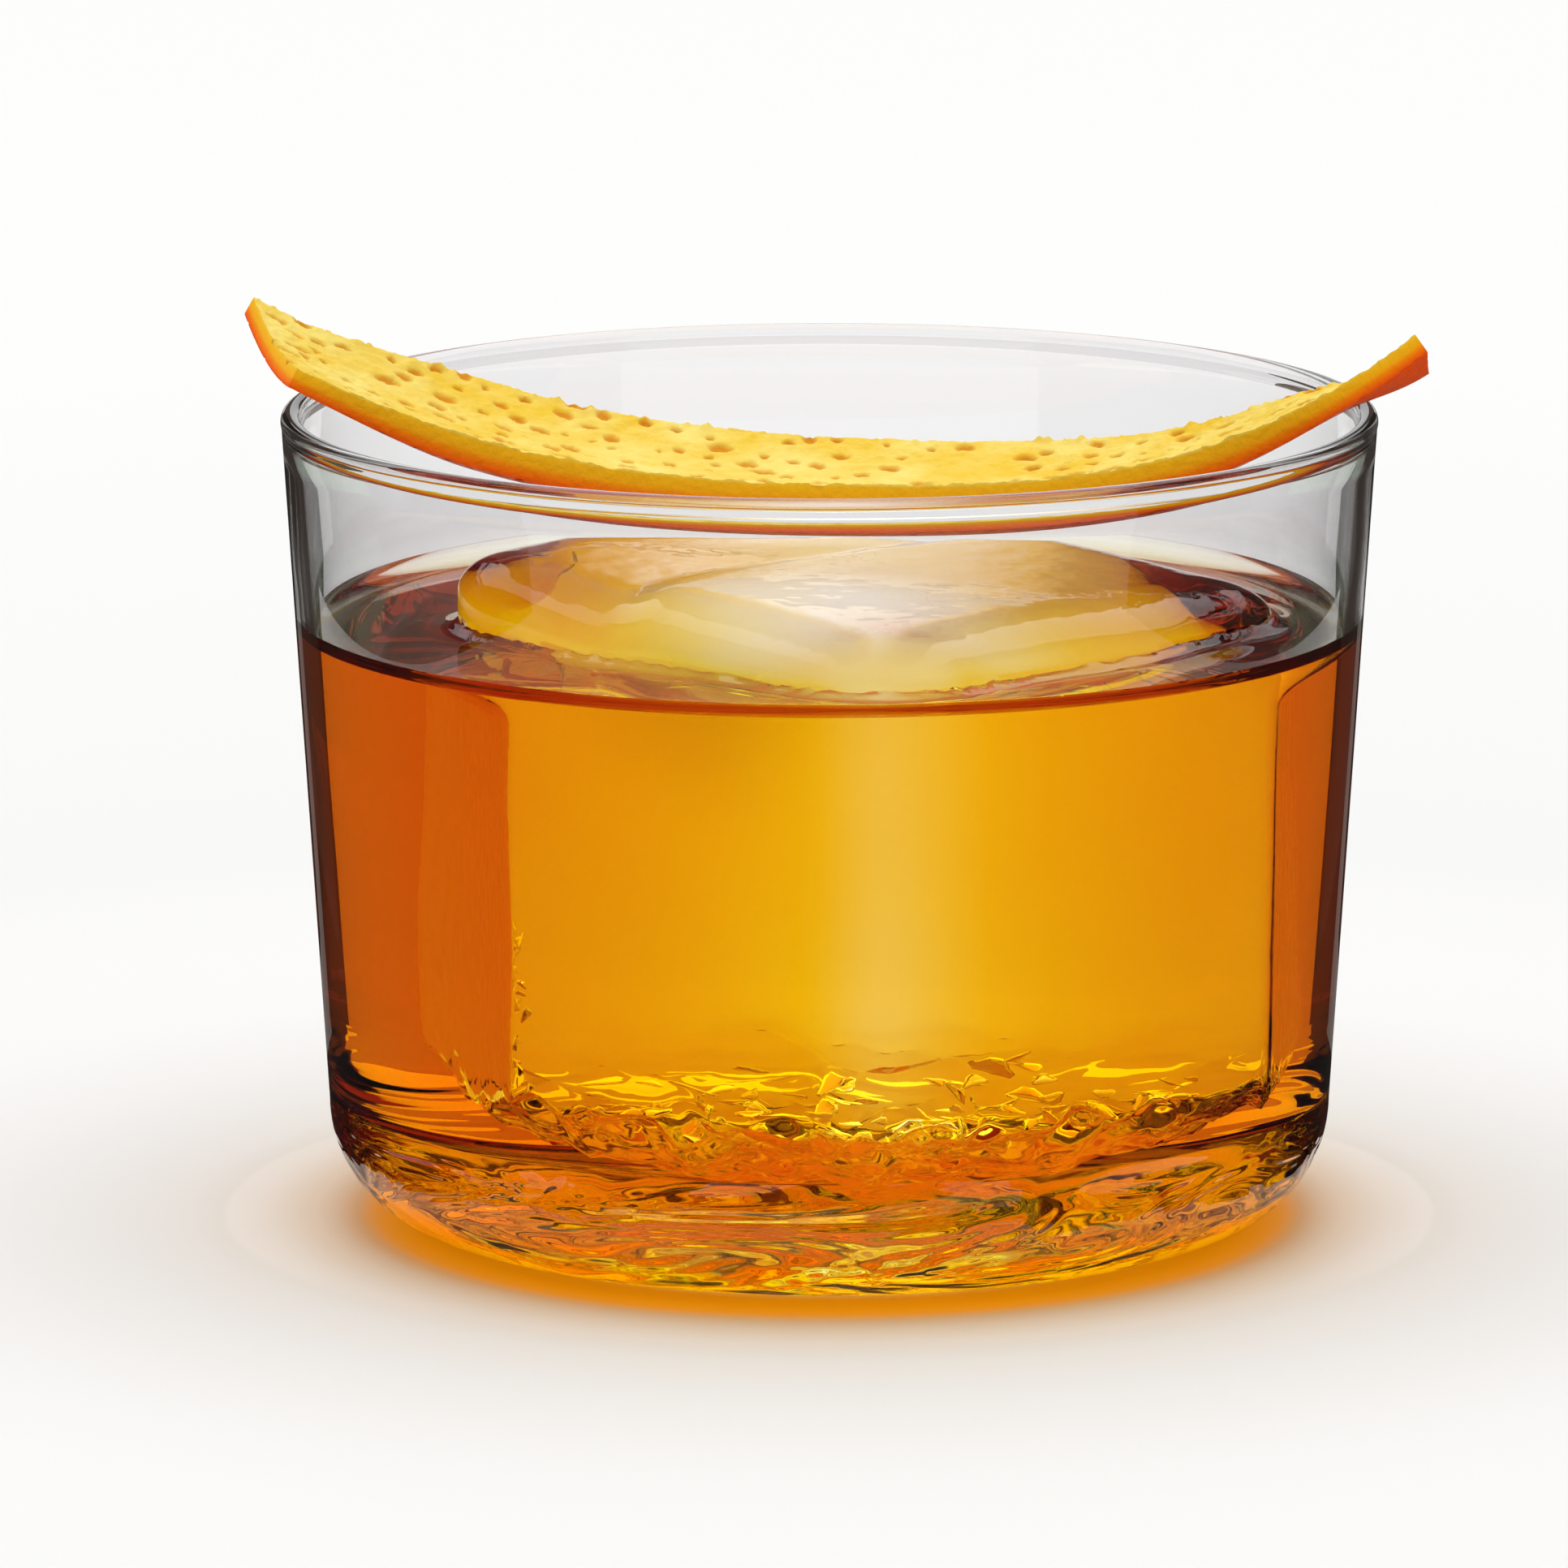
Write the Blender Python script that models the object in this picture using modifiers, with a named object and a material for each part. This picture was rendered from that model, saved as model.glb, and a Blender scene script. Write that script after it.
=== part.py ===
"""Old fashioned cocktail in a low tumbler: glass, amber drink, one large ice block, orange peel on the rim.

Metres, +Z up. The origin is the centre of the foot, where the glass stands. -Y is the front.
"""

import math

import bmesh
import bpy
from mathutils import Matrix, Vector, noise

GAP = 0.0003  # clearance between neighbouring solids

# Tumbler: a straight tapered wall on a wide rounded corner
GLASS_HEIGHT = 0.0614
RIM_RADIUS = 0.0413
WALL_RADIUS_AT_FOOT = 0.0374  # the outer wall line, run down to the foot plane
FOOT_RADIUS = 0.0300
CORNER_HEIGHT = 0.0087
BEAD_RADIUS = 0.00078
WALL_AT_RIM = 0.00120
WALL_AT_CORNER = 0.00150
FLOOR_THICKNESS = 0.0029
INNER_CORNER = 0.0085
TURN_STEPS = 64

# Drink
DRINK_LEVEL = 0.0448
MENISCUS_RISE = 0.0013
MENISCUS_WIDTH = 0.0024

# Ice: a slightly melted square block that floats with a corner to the front
ICE_SIDE = 0.0465
ICE_BOTTOM = 0.0095
ICE_TOP = 0.0498  # at the middle
ICE_TURN = math.radians(48)
ICE_OFFSET = (0.0030, -0.0013)
ICE_CORNER_RADIUS = 0.0072  # round the four upright edges
ICE_RIM_RADIUS = 0.0034  # over the top and bottom edges
ICE_TILT = 0.038  # slope of the top, high on the left
ICE_BELLY = 0.0043  # how far the middle of the underside hangs down
ICE_BACK_BULGE = 0.0032  # the melted sides are a little convex
ICE_FRONT_BULGE = 0.0012
ICE_LEFT_FACE = -0.0225  # below the surface the corners at the sides have melted away
ICE_RIGHT_FACE = 0.0208
ICE_RIGHT_FACE_TURN = math.radians(16)  # the right face looks a little to the back
ICE_LEFT_SOFTNESS = 0.0006
ICE_RIGHT_SOFTNESS = 0.0020
ICE_MELTED_BELOW = (0.0410, 0.0446)  # from fully melted to not at all
ICE_DIVISIONS = 12

# Orange peel: a strip laid across the rim, pith side up
PEEL_LEFT_X = -0.0400
PEEL_RIGHT_X = 0.0436
PEEL_LEFT_SLANT = 0.0039  # how much further the back corner of the left end reaches
PEEL_WIDTH = 0.0220
PEEL_THICKNESS = 0.0023
PEEL_FRONT_Y = -0.0052  # front edge at x = 0
PEEL_SKEW = -0.12  # slope of the front edge in plan
PEEL_SAG_Z = 0.0565  # top of the front edge at x = 0
PEEL_LEFT_RISE = 0.0080  # rise of the front edge at its left end
PEEL_RIGHT_RISE = 0.0121
PEEL_CROSS_RADIUS = 0.036
PEEL_TWIST = -95  # degrees of roll for each metre from left to right
PEEL_END_THINNING = 0.3  # share of the thickness lost at the two ends
PEEL_STATIONS = 44
PEEL_ROWS = 10

PARTS = "old_fashioned_cocktail"
CUTTERS = "cutters"


def start_scene():
    for obj in list(bpy.data.objects):
        bpy.data.objects.remove(obj)
    for name in (PARTS, CUTTERS):
        bpy.context.scene.collection.children.link(bpy.data.collections.new(name))


def plain_material(name, color, roughness, transmission=0.0, ior=1.5):
    material = bpy.data.materials.new(name)
    material.use_nodes = True
    shader = material.node_tree.nodes["Principled BSDF"]
    shader.inputs["Base Color"].default_value = (*color, 1)
    shader.inputs["Roughness"].default_value = roughness
    shader.inputs["Metallic"].default_value = 0
    shader.inputs["Transmission Weight"].default_value = transmission
    shader.inputs["IOR"].default_value = ior
    return material


def add_object(name, mesh, material=None, collection=PARTS):
    obj = bpy.data.objects.new(name, mesh)
    bpy.data.collections[collection].objects.link(obj)
    if material:
        mesh.materials.append(material)
    return obj


def mesh_from(bm, name):
    mesh = bpy.data.meshes.new(name)
    bm.to_mesh(mesh)
    bm.free()
    return mesh


def shade(obj, sharp_degrees=35):
    obj.data.shade_smooth()
    obj.data.set_sharp_from_angle(angle=math.radians(sharp_degrees))


def arc(center, radius_r, radius_z, start, end, steps):
    """Points of an ellipse arc in the (r, z) half plane; angles in degrees from +r."""
    points = []
    for i in range(steps + 1):
        angle = math.radians(start + (end - start) * i / steps)
        points.append((center[0] + radius_r * math.cos(angle), center[1] + radius_z * math.sin(angle)))
    return points


def turned(name, profile, material):
    """A solid turned round Z from an (r, z) profile that starts and ends on the axis."""
    bm = bmesh.new()
    verts = [bm.verts.new((r, 0, z)) for r, z in profile]
    for a, b in zip(verts, verts[1:]):
        bm.edges.new((a, b))
    obj = add_object(name, mesh_from(bm, name), material)
    screw = obj.modifiers.new("turn", "SCREW")
    screw.steps = TURN_STEPS
    screw.render_steps = TURN_STEPS
    screw.use_merge_vertices = True
    screw.merge_threshold = 0.00001
    screw.use_smooth_shade = True
    return obj


def outer_radius(z):
    return WALL_RADIUS_AT_FOOT + (RIM_RADIUS - WALL_RADIUS_AT_FOOT) * z / GLASS_HEIGHT


def inner_radius(z):
    up = min(1, max(0, (z - INNER_CORNER) / (GLASS_HEIGHT - INNER_CORNER)))
    return outer_radius(z) - WALL_AT_CORNER + (WALL_AT_CORNER - WALL_AT_RIM) * up


def inner_corner_points(inset=0.0, steps=8):
    """The rounded inner corner, floor to wall, moved into the hollow by an inset."""
    top = FLOOR_THICKNESS + INNER_CORNER
    center = (inner_radius(top) - INNER_CORNER, top)
    radius = INNER_CORNER - inset
    return arc(center, radius, radius, -90, 0, steps)


def tumbler(material):
    bead = (RIM_RADIUS - BEAD_RADIUS, GLASS_HEIGHT - BEAD_RADIUS)
    corner_r = outer_radius(CORNER_HEIGHT) - FOOT_RADIUS
    wall_heights = [0.022, 0.034, 0.046, 0.056]
    profile = [(0, FLOOR_THICKNESS), (0.012, FLOOR_THICKNESS)]
    profile += inner_corner_points()
    profile += [(inner_radius(z), z) for z in wall_heights]
    profile += arc(bead, BEAD_RADIUS, BEAD_RADIUS, 205, -25, 8)
    profile += [(outer_radius(z), z) for z in reversed(wall_heights)]
    profile += arc((FOOT_RADIUS, CORNER_HEIGHT), corner_r, CORNER_HEIGHT, 0, -90, 9)
    profile += [(0.012, 0), (0, 0)]
    return turned("tumbler", profile, material)


def drink(material, ice_pocket):
    wall_top = DRINK_LEVEL + MENISCUS_RISE
    profile = [(0, DRINK_LEVEL), (0.016, DRINK_LEVEL), (0.028, DRINK_LEVEL)]
    edge = inner_radius(wall_top) - GAP
    for i in range(5):
        t = i / 4
        profile.append((edge - MENISCUS_WIDTH * (1 - t), DRINK_LEVEL + MENISCUS_RISE * t**2.2))
    profile += [(inner_radius(z) - GAP, z) for z in (0.038, 0.028, 0.020)]
    profile += list(reversed(inner_corner_points(GAP, 6)))
    profile += [(0.012, FLOOR_THICKNESS + GAP), (0, FLOOR_THICKNESS + GAP)]
    obj = turned("drink", profile, material)
    cut = obj.modifiers.new("ice pocket", "BOOLEAN")
    cut.operation = "DIFFERENCE"
    cut.solver = "EXACT"
    cut.object = ice_pocket
    return obj


def blend(value, start, end):
    """0 before start, 1 after end, smooth between."""
    t = min(1, max(0, (value - start) / (end - start)))
    return t * t * (3 - 2 * t)


def rounded_block_point(cube_point):
    """Where a point of a 2 m cube lies on the block: flat faces, round edges, a soft worn top."""
    half = Vector((ICE_SIDE / 2, ICE_SIDE / 2, (ICE_TOP - ICE_BOTTOM) / 2))
    spread = Vector([math.copysign(1 - (1 - abs(c)) ** 1.5, c) for c in cube_point])
    raw = Vector([spread[i] * half[i] for i in range(3)])
    radii = (ICE_CORNER_RADIUS, ICE_CORNER_RADIUS, ICE_RIM_RADIUS)
    core = Vector([max(radii[i] - half[i], min(half[i] - radii[i], raw[i])) for i in range(3)])
    outward = Vector([(raw[i] - core[i]) / radii[i] for i in range(3)])
    if outward.length == 0:
        return raw
    outward.normalize()
    return core + Vector([outward[i] * radii[i] for i in range(3)])


def side_bulge(toward, along):
    """How far a side swells: toward is the coordinate across that side, along the one that runs with it."""
    half = ICE_SIDE / 2
    swell = ICE_BACK_BULGE if toward > 0 else ICE_FRONT_BULGE
    return swell * toward / half * max(0, 1 - (along / half) ** 2)


def ice_relief(point):
    """Melted waves on convex sides, a slightly tilted top with one shallow crease, a chipped lower edge."""
    height = point.z / (ICE_TOP - ICE_BOTTOM) + 0.5
    wave = noise.noise(point * 90) * 0.0007
    moved = Vector((point.x * (1 + wave / 0.024), point.y * (1 + wave / 0.024), point.z))
    reach = math.hypot(point.x, point.y) / (ICE_SIDE / 2)
    moved.x += side_bulge(point.x, point.y)
    moved.y += side_bulge(point.y, point.x)
    if height > 0.6:
        to_the_right = point.x * math.cos(ICE_TURN) - point.y * math.sin(ICE_TURN)
        mound = 0.0007 * min(1, reach) ** 2.4 + ICE_TILT * to_the_right
        bend = 0.0020 * math.sin(point.x * 160)
        crease = 0.0006 * math.exp(-(((point.y - point.x * 0.43 - bend) / 0.0030) ** 2))
        moved.z -= (mound + crease) * (height - 0.6) / 0.4
    if height < 0.3:
        chips = noise.noise(point * 260) * 0.0016 + noise.noise(point * 520) * 0.0007
        belly = ICE_BELLY * max(0, 1 - reach ** 2)
        moved.z += (chips + 0.0012 * reach - belly) * (0.3 - height) / 0.3
    return moved


def soft_limit(value, limit, softness):
    """The value kept on the inner side of the limit, with a small round shoulder."""
    over = (value - limit) * math.copysign(1, limit)
    if over <= 0:
        return value
    return limit + math.copysign(softness * (1 - math.exp(-over / softness)), limit)


def melt_face(point, turned, limit, softness):
    """One face melted flat below the drink's surface."""
    melted = 1 - blend(point.z + (ICE_TOP + ICE_BOTTOM) / 2, *ICE_MELTED_BELOW)
    turn = Matrix.Rotation(turned, 3, "Z")
    seen = turn @ point
    seen.x += (soft_limit(seen.x, limit, softness) - seen.x) * melted
    return turn.inverted() @ seen


def melt_corners(point):
    point = melt_face(point, ICE_TURN, ICE_LEFT_FACE, ICE_LEFT_SOFTNESS)
    return melt_face(point, ICE_TURN - ICE_RIGHT_FACE_TURN, ICE_RIGHT_FACE, ICE_RIGHT_SOFTNESS)


def ice_mesh(name, grown=0.0):
    bm = bmesh.new()
    bmesh.ops.create_cube(bm, size=2)
    bmesh.ops.subdivide_edges(bm, edges=bm.edges[:], cuts=ICE_DIVISIONS - 1, use_grid_fill=True)
    for vert in bm.verts:
        vert.co = melt_corners(ice_relief(rounded_block_point(vert.co)))
    if grown:
        bm.normal_update()
        outward = {vert: vert.normal.copy() for vert in bm.verts}
        for vert in bm.verts:
            vert.co += outward[vert] * grown
    return mesh_from(bm, name)


def place_ice(obj):
    obj.rotation_euler.z = ICE_TURN
    obj.location = (*ICE_OFFSET, (ICE_TOP + ICE_BOTTOM) / 2)
    return obj


def ice_block(material):
    obj = place_ice(add_object("ice_block", ice_mesh("ice_block"), material))
    shade(obj, 60)
    return obj


def ice_cutter():
    obj = place_ice(add_object("ice_pocket", ice_mesh("ice_pocket", GAP), collection=CUTTERS))
    obj.hide_render = True
    obj.display_type = "WIRE"
    return obj


def peel_front_height(x):
    """Top of the front edge: it hangs between the two ends and curls up more on the right."""
    if x < 0:
        return PEEL_SAG_Z + PEEL_LEFT_RISE * (x / PEEL_LEFT_X) ** 2.4
    return PEEL_SAG_Z + PEEL_RIGHT_RISE * (x / PEEL_RIGHT_X) ** 2.9


def peel_width(x):
    left = 0.32 * blend(-x, 0.026, 0.044)
    right = 0.53 * blend(x, 0.012, 0.041)
    return PEEL_WIDTH * (1 - left - right)


def peel_roll(x):
    """Twist along the strip: the left end leans to the front, the right end to the back."""
    return math.radians(PEEL_TWIST * x - 0.4 - 16 * blend(x, 0.0340, 0.0450))


def peel_point(along, across):
    """A point of the pith side: along runs left to right, across runs front to back, both 0 to 1."""
    left = PEEL_LEFT_X - PEEL_LEFT_SLANT * across
    x = left + (PEEL_RIGHT_X + 0.0006 * across - left) * along
    width = peel_width(x)
    roll = peel_roll(x)
    hollow = -4 * across * (1 - across) * width**2 / (8 * PEEL_CROSS_RADIUS)
    y = PEEL_FRONT_Y + PEEL_SKEW * x + width * across * math.cos(roll)
    z = peel_front_height(x) + width * across * math.sin(roll) + hollow
    wobble = noise.noise(Vector((x * 140, y * 140, 3.1))) * 0.0003
    return Vector((x, y + wobble, z + wobble))


def orange_peel(material):
    bm = bmesh.new()
    bmesh.ops.create_grid(bm, x_segments=PEEL_STATIONS, y_segments=PEEL_ROWS, size=0.5)
    for vert in bm.verts:
        vert.co = peel_point(vert.co.x + 0.5, vert.co.y + 0.5)
    obj = add_object("orange_peel", mesh_from(bm, "orange_peel"), material)
    full = obj.vertex_groups.new(name="full thickness")
    for vert in obj.data.vertices:
        thinned = PEEL_END_THINNING * blend(abs(vert.co.x), 0.026, 0.040)
        full.add([vert.index], 1 - thinned, "REPLACE")
    skin = obj.modifiers.new("thickness", "SOLIDIFY")
    skin.thickness = PEEL_THICKNESS
    skin.offset = -1
    skin.use_even_offset = False
    skin.vertex_group = full.name
    soften = obj.modifiers.new("cut edges", "BEVEL")
    soften.width = 0.00025
    soften.segments = 1
    soften.limit_method = "ANGLE"
    soften.angle_limit = math.radians(50)
    shade(obj, 45)
    return obj


def main():
    start_scene()
    clear_glass = plain_material("clear glass", (1.0, 1.0, 1.0), 0.0, 1.0, 1.5)
    amber_drink = plain_material("amber drink", (0.80, 0.33, 0.02), 0.0, 0.9, 1.36)
    clear_ice = plain_material("clear ice", (0.95, 0.97, 1.0), 0.05, 0.95, 1.31)
    peel_finish = plain_material("orange peel", (0.93, 0.55, 0.08), 0.6)
    tumbler(clear_glass)
    drink(amber_drink, ice_cutter())
    ice_block(clear_ice)
    orange_peel(peel_finish)


main()
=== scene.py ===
# Old fashioned in a low clear tumbler: amber drink, one big worn block of ice, orange peel across the rim.
# Metres, +Z up. The front is towards -Y.
import math
import random

import bmesh
import bpy
import numpy as np
from mathutils import Euler, Matrix, Vector, noise
from mathutils.kdtree import KDTree


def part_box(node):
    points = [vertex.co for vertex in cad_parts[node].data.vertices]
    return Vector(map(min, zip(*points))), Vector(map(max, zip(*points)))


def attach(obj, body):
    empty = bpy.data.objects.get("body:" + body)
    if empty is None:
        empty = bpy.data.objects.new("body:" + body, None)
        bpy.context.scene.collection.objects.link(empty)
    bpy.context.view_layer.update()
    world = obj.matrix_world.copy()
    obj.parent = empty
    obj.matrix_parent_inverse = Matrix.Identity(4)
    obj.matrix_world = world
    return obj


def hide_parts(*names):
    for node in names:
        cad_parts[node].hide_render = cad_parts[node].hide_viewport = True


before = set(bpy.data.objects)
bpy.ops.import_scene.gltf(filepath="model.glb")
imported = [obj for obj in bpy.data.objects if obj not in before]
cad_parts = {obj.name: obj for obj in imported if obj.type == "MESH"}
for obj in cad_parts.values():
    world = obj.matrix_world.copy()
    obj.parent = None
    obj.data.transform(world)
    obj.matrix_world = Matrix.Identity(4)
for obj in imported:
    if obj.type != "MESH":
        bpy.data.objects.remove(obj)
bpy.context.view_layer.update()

mm = 0.001

shot = {
    "frameSize": 1932,            # pixels each way
    "focalPixels": 16274,
    "aimPixel": (1021.9, 995.4),  # where the aim point falls in the frame
    "aimHeight": 30.7 * mm,
    "distance": 1.0,
    "elevation": 11.1,            # degrees
    "sensorWidth": 36,
    "nearest": 0.05,
}


def placeCamera():
    tilt = math.radians(shot["elevation"])
    lensData = bpy.data.cameras.new("barCamera")
    camera = bpy.data.objects.new("barCamera", lensData)
    bpy.context.scene.collection.objects.link(camera)
    away = Vector((0, -math.cos(tilt), math.sin(tilt)))
    camera.location = Vector((0, 0, shot["aimHeight"])) + away * shot["distance"]
    camera.rotation_euler = (math.radians(90) - tilt, 0, 0)
    size = shot["frameSize"]
    lensData.sensor_width = shot["sensorWidth"]
    lensData.lens = shot["sensorWidth"] * shot["focalPixels"] / size
    lensData.shift_x = (size / 2 - shot["aimPixel"][0]) / size
    lensData.shift_y = (shot["aimPixel"][1] - size / 2) / size
    lensData.clip_start = shot["nearest"]
    bpy.context.scene.camera = camera
    print("camera placed")


def blendStep(value, start, end):
    t = np.clip((value - start) / (end - start), 0, 1)
    return t * t * (3 - 2 * t)


def addPiece(name, points, faces, smooth=True):
    mesh = bpy.data.meshes.new(name)
    mesh.from_pydata([tuple(p) for p in points], [], faces)
    shell = bmesh.new()
    shell.from_mesh(mesh)
    bmesh.ops.recalc_face_normals(shell, faces=shell.faces[:])
    shell.to_mesh(mesh)
    shell.free()
    if smooth:
        mesh.shade_smooth()
    piece = bpy.data.objects.new(name, mesh)
    bpy.context.scene.collection.objects.link(piece)
    return piece


def turnedPiece(name, profile, steps):
    # profile: (r, z) points that start and end on the axis
    rings = profile[1:-1]
    points = [(0, 0, profile[0][1])]
    for r, z in rings:
        for i in range(steps):
            angle = 2 * math.pi * i / steps
            points.append((r * math.cos(angle), r * math.sin(angle), z))
    points.append((0, 0, profile[-1][1]))
    faces = []
    last = len(points) - 1
    lastRing = 1 + (len(rings) - 1) * steps
    for i in range(steps):
        j = (i + 1) % steps
        faces.append((0, 1 + j, 1 + i))
        faces.append((last, lastRing + i, lastRing + j))
        for k in range(len(rings) - 1):
            a, b = 1 + k * steps, 1 + (k + 1) * steps
            faces.append((a + i, a + j, b + j, b + i))
    return addPiece(name, points, faces)


def arcPoints(center, radius, start, end, steps, radiusZ=None):
    tall = radius if radiusZ is None else radiusZ
    angles = [math.radians(start + (end - start) * i / steps) for i in range(steps + 1)]
    return [(center[0] + radius * math.cos(a), center[1] + tall * math.sin(a)) for a in angles]


def spaced(first, last, count):
    return [first + (last - first) * i / (count - 1) for i in range(count)]


def newMaterial(name):
    material = bpy.data.materials.new(name)
    material.use_nodes = True
    nodes = material.node_tree.nodes
    return material, nodes, material.node_tree.links, nodes["Principled BSDF"]


def addNode(nodes, kind, **settings):
    node = nodes.new(kind)
    for key, value in settings.items():
        if key in node.inputs:
            node.inputs[key].default_value = value
        else:
            setattr(node, key, value)
    return node


def mapRange(nodes, value, low, high, fromValue=0.0, toValue=1.0, ease="LINEAR"):
    # the value carried over from low..high to fromValue..toValue
    node = addNode(nodes, "ShaderNodeMapRange", interpolation_type=ease)
    for key, setting in (("From Min", low), ("From Max", high), ("To Min", fromValue), ("To Max", toValue)):
        node.inputs[key].default_value = setting
    node.id_data.links.new(value, node.inputs["Value"])
    return node.outputs["Result"]


def objectAxes(nodes, links):
    # the piece's own coordinates, whole and split into X, Y and Z
    place = nodes.new("ShaderNodeTexCoord")
    split = nodes.new("ShaderNodeSeparateXYZ")
    links.new(place.outputs["Object"], split.inputs["Vector"])
    return place.outputs["Object"], split.outputs


def colorRamp(nodes, stops):
    ramp = nodes.new("ShaderNodeValToRGB")
    marks = ramp.color_ramp.elements
    while len(marks) < len(stops):
        marks.new(0.5)
    for mark, (place, color) in zip(marks, stops):
        mark.position = place
        mark.color = (*color, 1)
    return ramp


def rampAcross(stops, reach):
    # stops given from -reach to reach, as stops from 0 to 1
    return [(0.5 + 0.5 * place / reach, color) for place, color in stops]


def mixColors(nodes, links, factor, first, second, kind="MIX"):
    mix = addNode(nodes, "ShaderNodeMix", data_type="RGBA", blend_type=kind)
    if factor is None:
        mix.inputs["Factor"].default_value = 1.0
    else:
        links.new(factor, mix.inputs["Factor"])
    links.new(first, mix.inputs[6])     # the colour sockets A and B of the mix
    links.new(second, mix.inputs[7])
    return mix.outputs[2]


def shadeOf(red, green, blue):
    # a screen colour, 0 to 255, as the linear colour that shaders take
    def linear(c):
        c = c / 255
        return c / 12.92 if c <= 0.04045 else ((c + 0.055) / 1.055) ** 2.4
    return (linear(red), linear(green), linear(blue))


bending = {                       # refractive index of each thing
    "air": 1.0,
    "glass": 1.5,
    "drink": 1.36,
    "ice": 1.31,
}


def setBoundary(piece, inner, outerOf):
    # where two clear things touch, one skin bends the light and the other lets it straight through
    values = []
    for face in piece.data.polygons:
        outer = outerOf(face)
        values.append(1.0 if outer is None else bending[inner] / bending[outer])
    attribute = piece.data.attributes.new("boundary", "FLOAT", "FACE")
    attribute.data.foreach_set("value", values)


def bendByBoundary(nodes, links, shader, inner):
    shader.inputs["IOR"].default_value = bending[inner]
    shader.inputs["Transmission Weight"].default_value = 1.0
    shader.inputs["Roughness"].default_value = 0.0
    boundary = addNode(nodes, "ShaderNodeAttribute", attribute_name="boundary")
    links.new(boundary.outputs["Fac"], shader.inputs["IOR"])


def absorbLight(nodes, links, tint):
    absorb = nodes.new("ShaderNodeVolumeAbsorption")
    absorb.inputs["Color"].default_value = (*tint["passes"], 1)
    absorb.inputs["Density"].default_value = tint["density"]
    links.new(absorb.outputs["Volume"], nodes["Material Output"].inputs["Volume"])


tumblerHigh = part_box("tumbler")[1]
tumblerShape = {
    "height": tumblerHigh.z,
    "rimRadius": tumblerHigh.x,
    "wallRadiusAtFoot": 37.4 * mm,
    "footRadius": 30.0 * mm,
    "cornerHeight": 8.7 * mm,
    "beadRadius": 0.78 * mm,
    "beadFoot": 2.6,              # the wall turns into the rim this many bead radii below the top
    "wallAtRim": 1.2 * mm,
    "wallAtCorner": 1.5 * mm,
    "floorThickness": 2.9 * mm,
    "innerCorner": 8.5 * mm,
    "flatRadius": 28.0 * mm,      # of the ground flat underneath
    "floorRadius": 26.0 * mm,
    "rimArc": (205, -25),         # degrees
    "steps": 256,
    "flatRings": 14,              # how finely each part is made, from the middle of the floor outwards
    "innerCornerRings": 24,
    "wetRings": 22,
    "dryRings": 9,
    "rimRings": 20,
    "outerRings": 34,
    "outerCornerRings": 26,
}
tumblerTint = {
    "density": 30.0,              # absorption for each metre at full strength
    "passes": (0.08, 0.07, 0.04),
    "dryPaintedGrey": (0.885, 0.878, 0.885),   # painted shade: above the drink the glass is tinted a little grey
    "dryFrom": (45.5 * mm, 47.5 * mm),
    "footWaves": 1.5 * mm,        # the pressed foot is a little wavy, up to the height where it fades
    "footFade": (5 * mm, 10 * mm),
    "footStretch": (0.8, 0.8, 3.2),
}


def outerRadius(z):
    g = tumblerShape
    return g["wallRadiusAtFoot"] + (g["rimRadius"] - g["wallRadiusAtFoot"]) * z / g["height"]


def innerRadius(z):
    g = tumblerShape
    up = min(1, max(0, (z - g["innerCorner"]) / (g["height"] - g["innerCorner"])))
    return outerRadius(z) - g["wallAtCorner"] + (g["wallAtCorner"] - g["wallAtRim"]) * up


def innerCornerPoints(inset, steps):
    g = tumblerShape
    top = g["floorThickness"] + g["innerCorner"]
    center = (innerRadius(top) - g["innerCorner"], top)
    return arcPoints(center, g["innerCorner"] - inset, -90, 0, steps)


def makeTumbler():
    g = tumblerShape
    bead = (g["rimRadius"] - g["beadRadius"], g["height"] - g["beadRadius"])
    cornerWidth = outerRadius(g["cornerHeight"]) - g["footRadius"]
    wallTop = g["height"] - g["beadFoot"] * g["beadRadius"]
    innerStart = g["floorThickness"] + g["innerCorner"]
    wetTop = drinkShape["level"] + drinkShape["meniscusRise"]
    profile = [(r, g["floorThickness"]) for r in spaced(0, g["floorRadius"], g["flatRings"])]
    profile += innerCornerPoints(0, g["innerCornerRings"])
    profile += [(innerRadius(z), z) for z in spaced(innerStart, wetTop, g["wetRings"])[1:]]
    profile += [(innerRadius(z), z) for z in spaced(wetTop, wallTop, g["dryRings"])[1:]]
    profile += arcPoints(bead, g["beadRadius"], *g["rimArc"], g["rimRings"])
    profile += [(outerRadius(z), z) for z in spaced(wallTop, g["cornerHeight"], g["outerRings"])[:-1]]
    profile += arcPoints((g["footRadius"], g["cornerHeight"]), cornerWidth, 0, -90, g["outerCornerRings"],
                         g["cornerHeight"])
    profile += [(r, 0) for r in spaced(g["flatRadius"], 0, g["flatRings"])]
    tumbler = turnedPiece("clearTumbler", profile, g["steps"])
    setBoundary(tumbler, "glass", lambda face: None if isWetGlass(face.center, face.normal) else "air")
    tumbler.data.materials.append(makeClearGlass())
    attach(tumbler, "root")
    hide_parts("tumbler")
    print("tumbler made")


def isWetGlass(center, normal):
    # the inner face of the glass, below the line where the drink meets it
    facesIn = normal.x * center.x + normal.y * center.y < 0 or normal.z > 0.5
    return facesIn and center.z < drinkShape["level"] + drinkShape["meniscusRise"]


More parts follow.
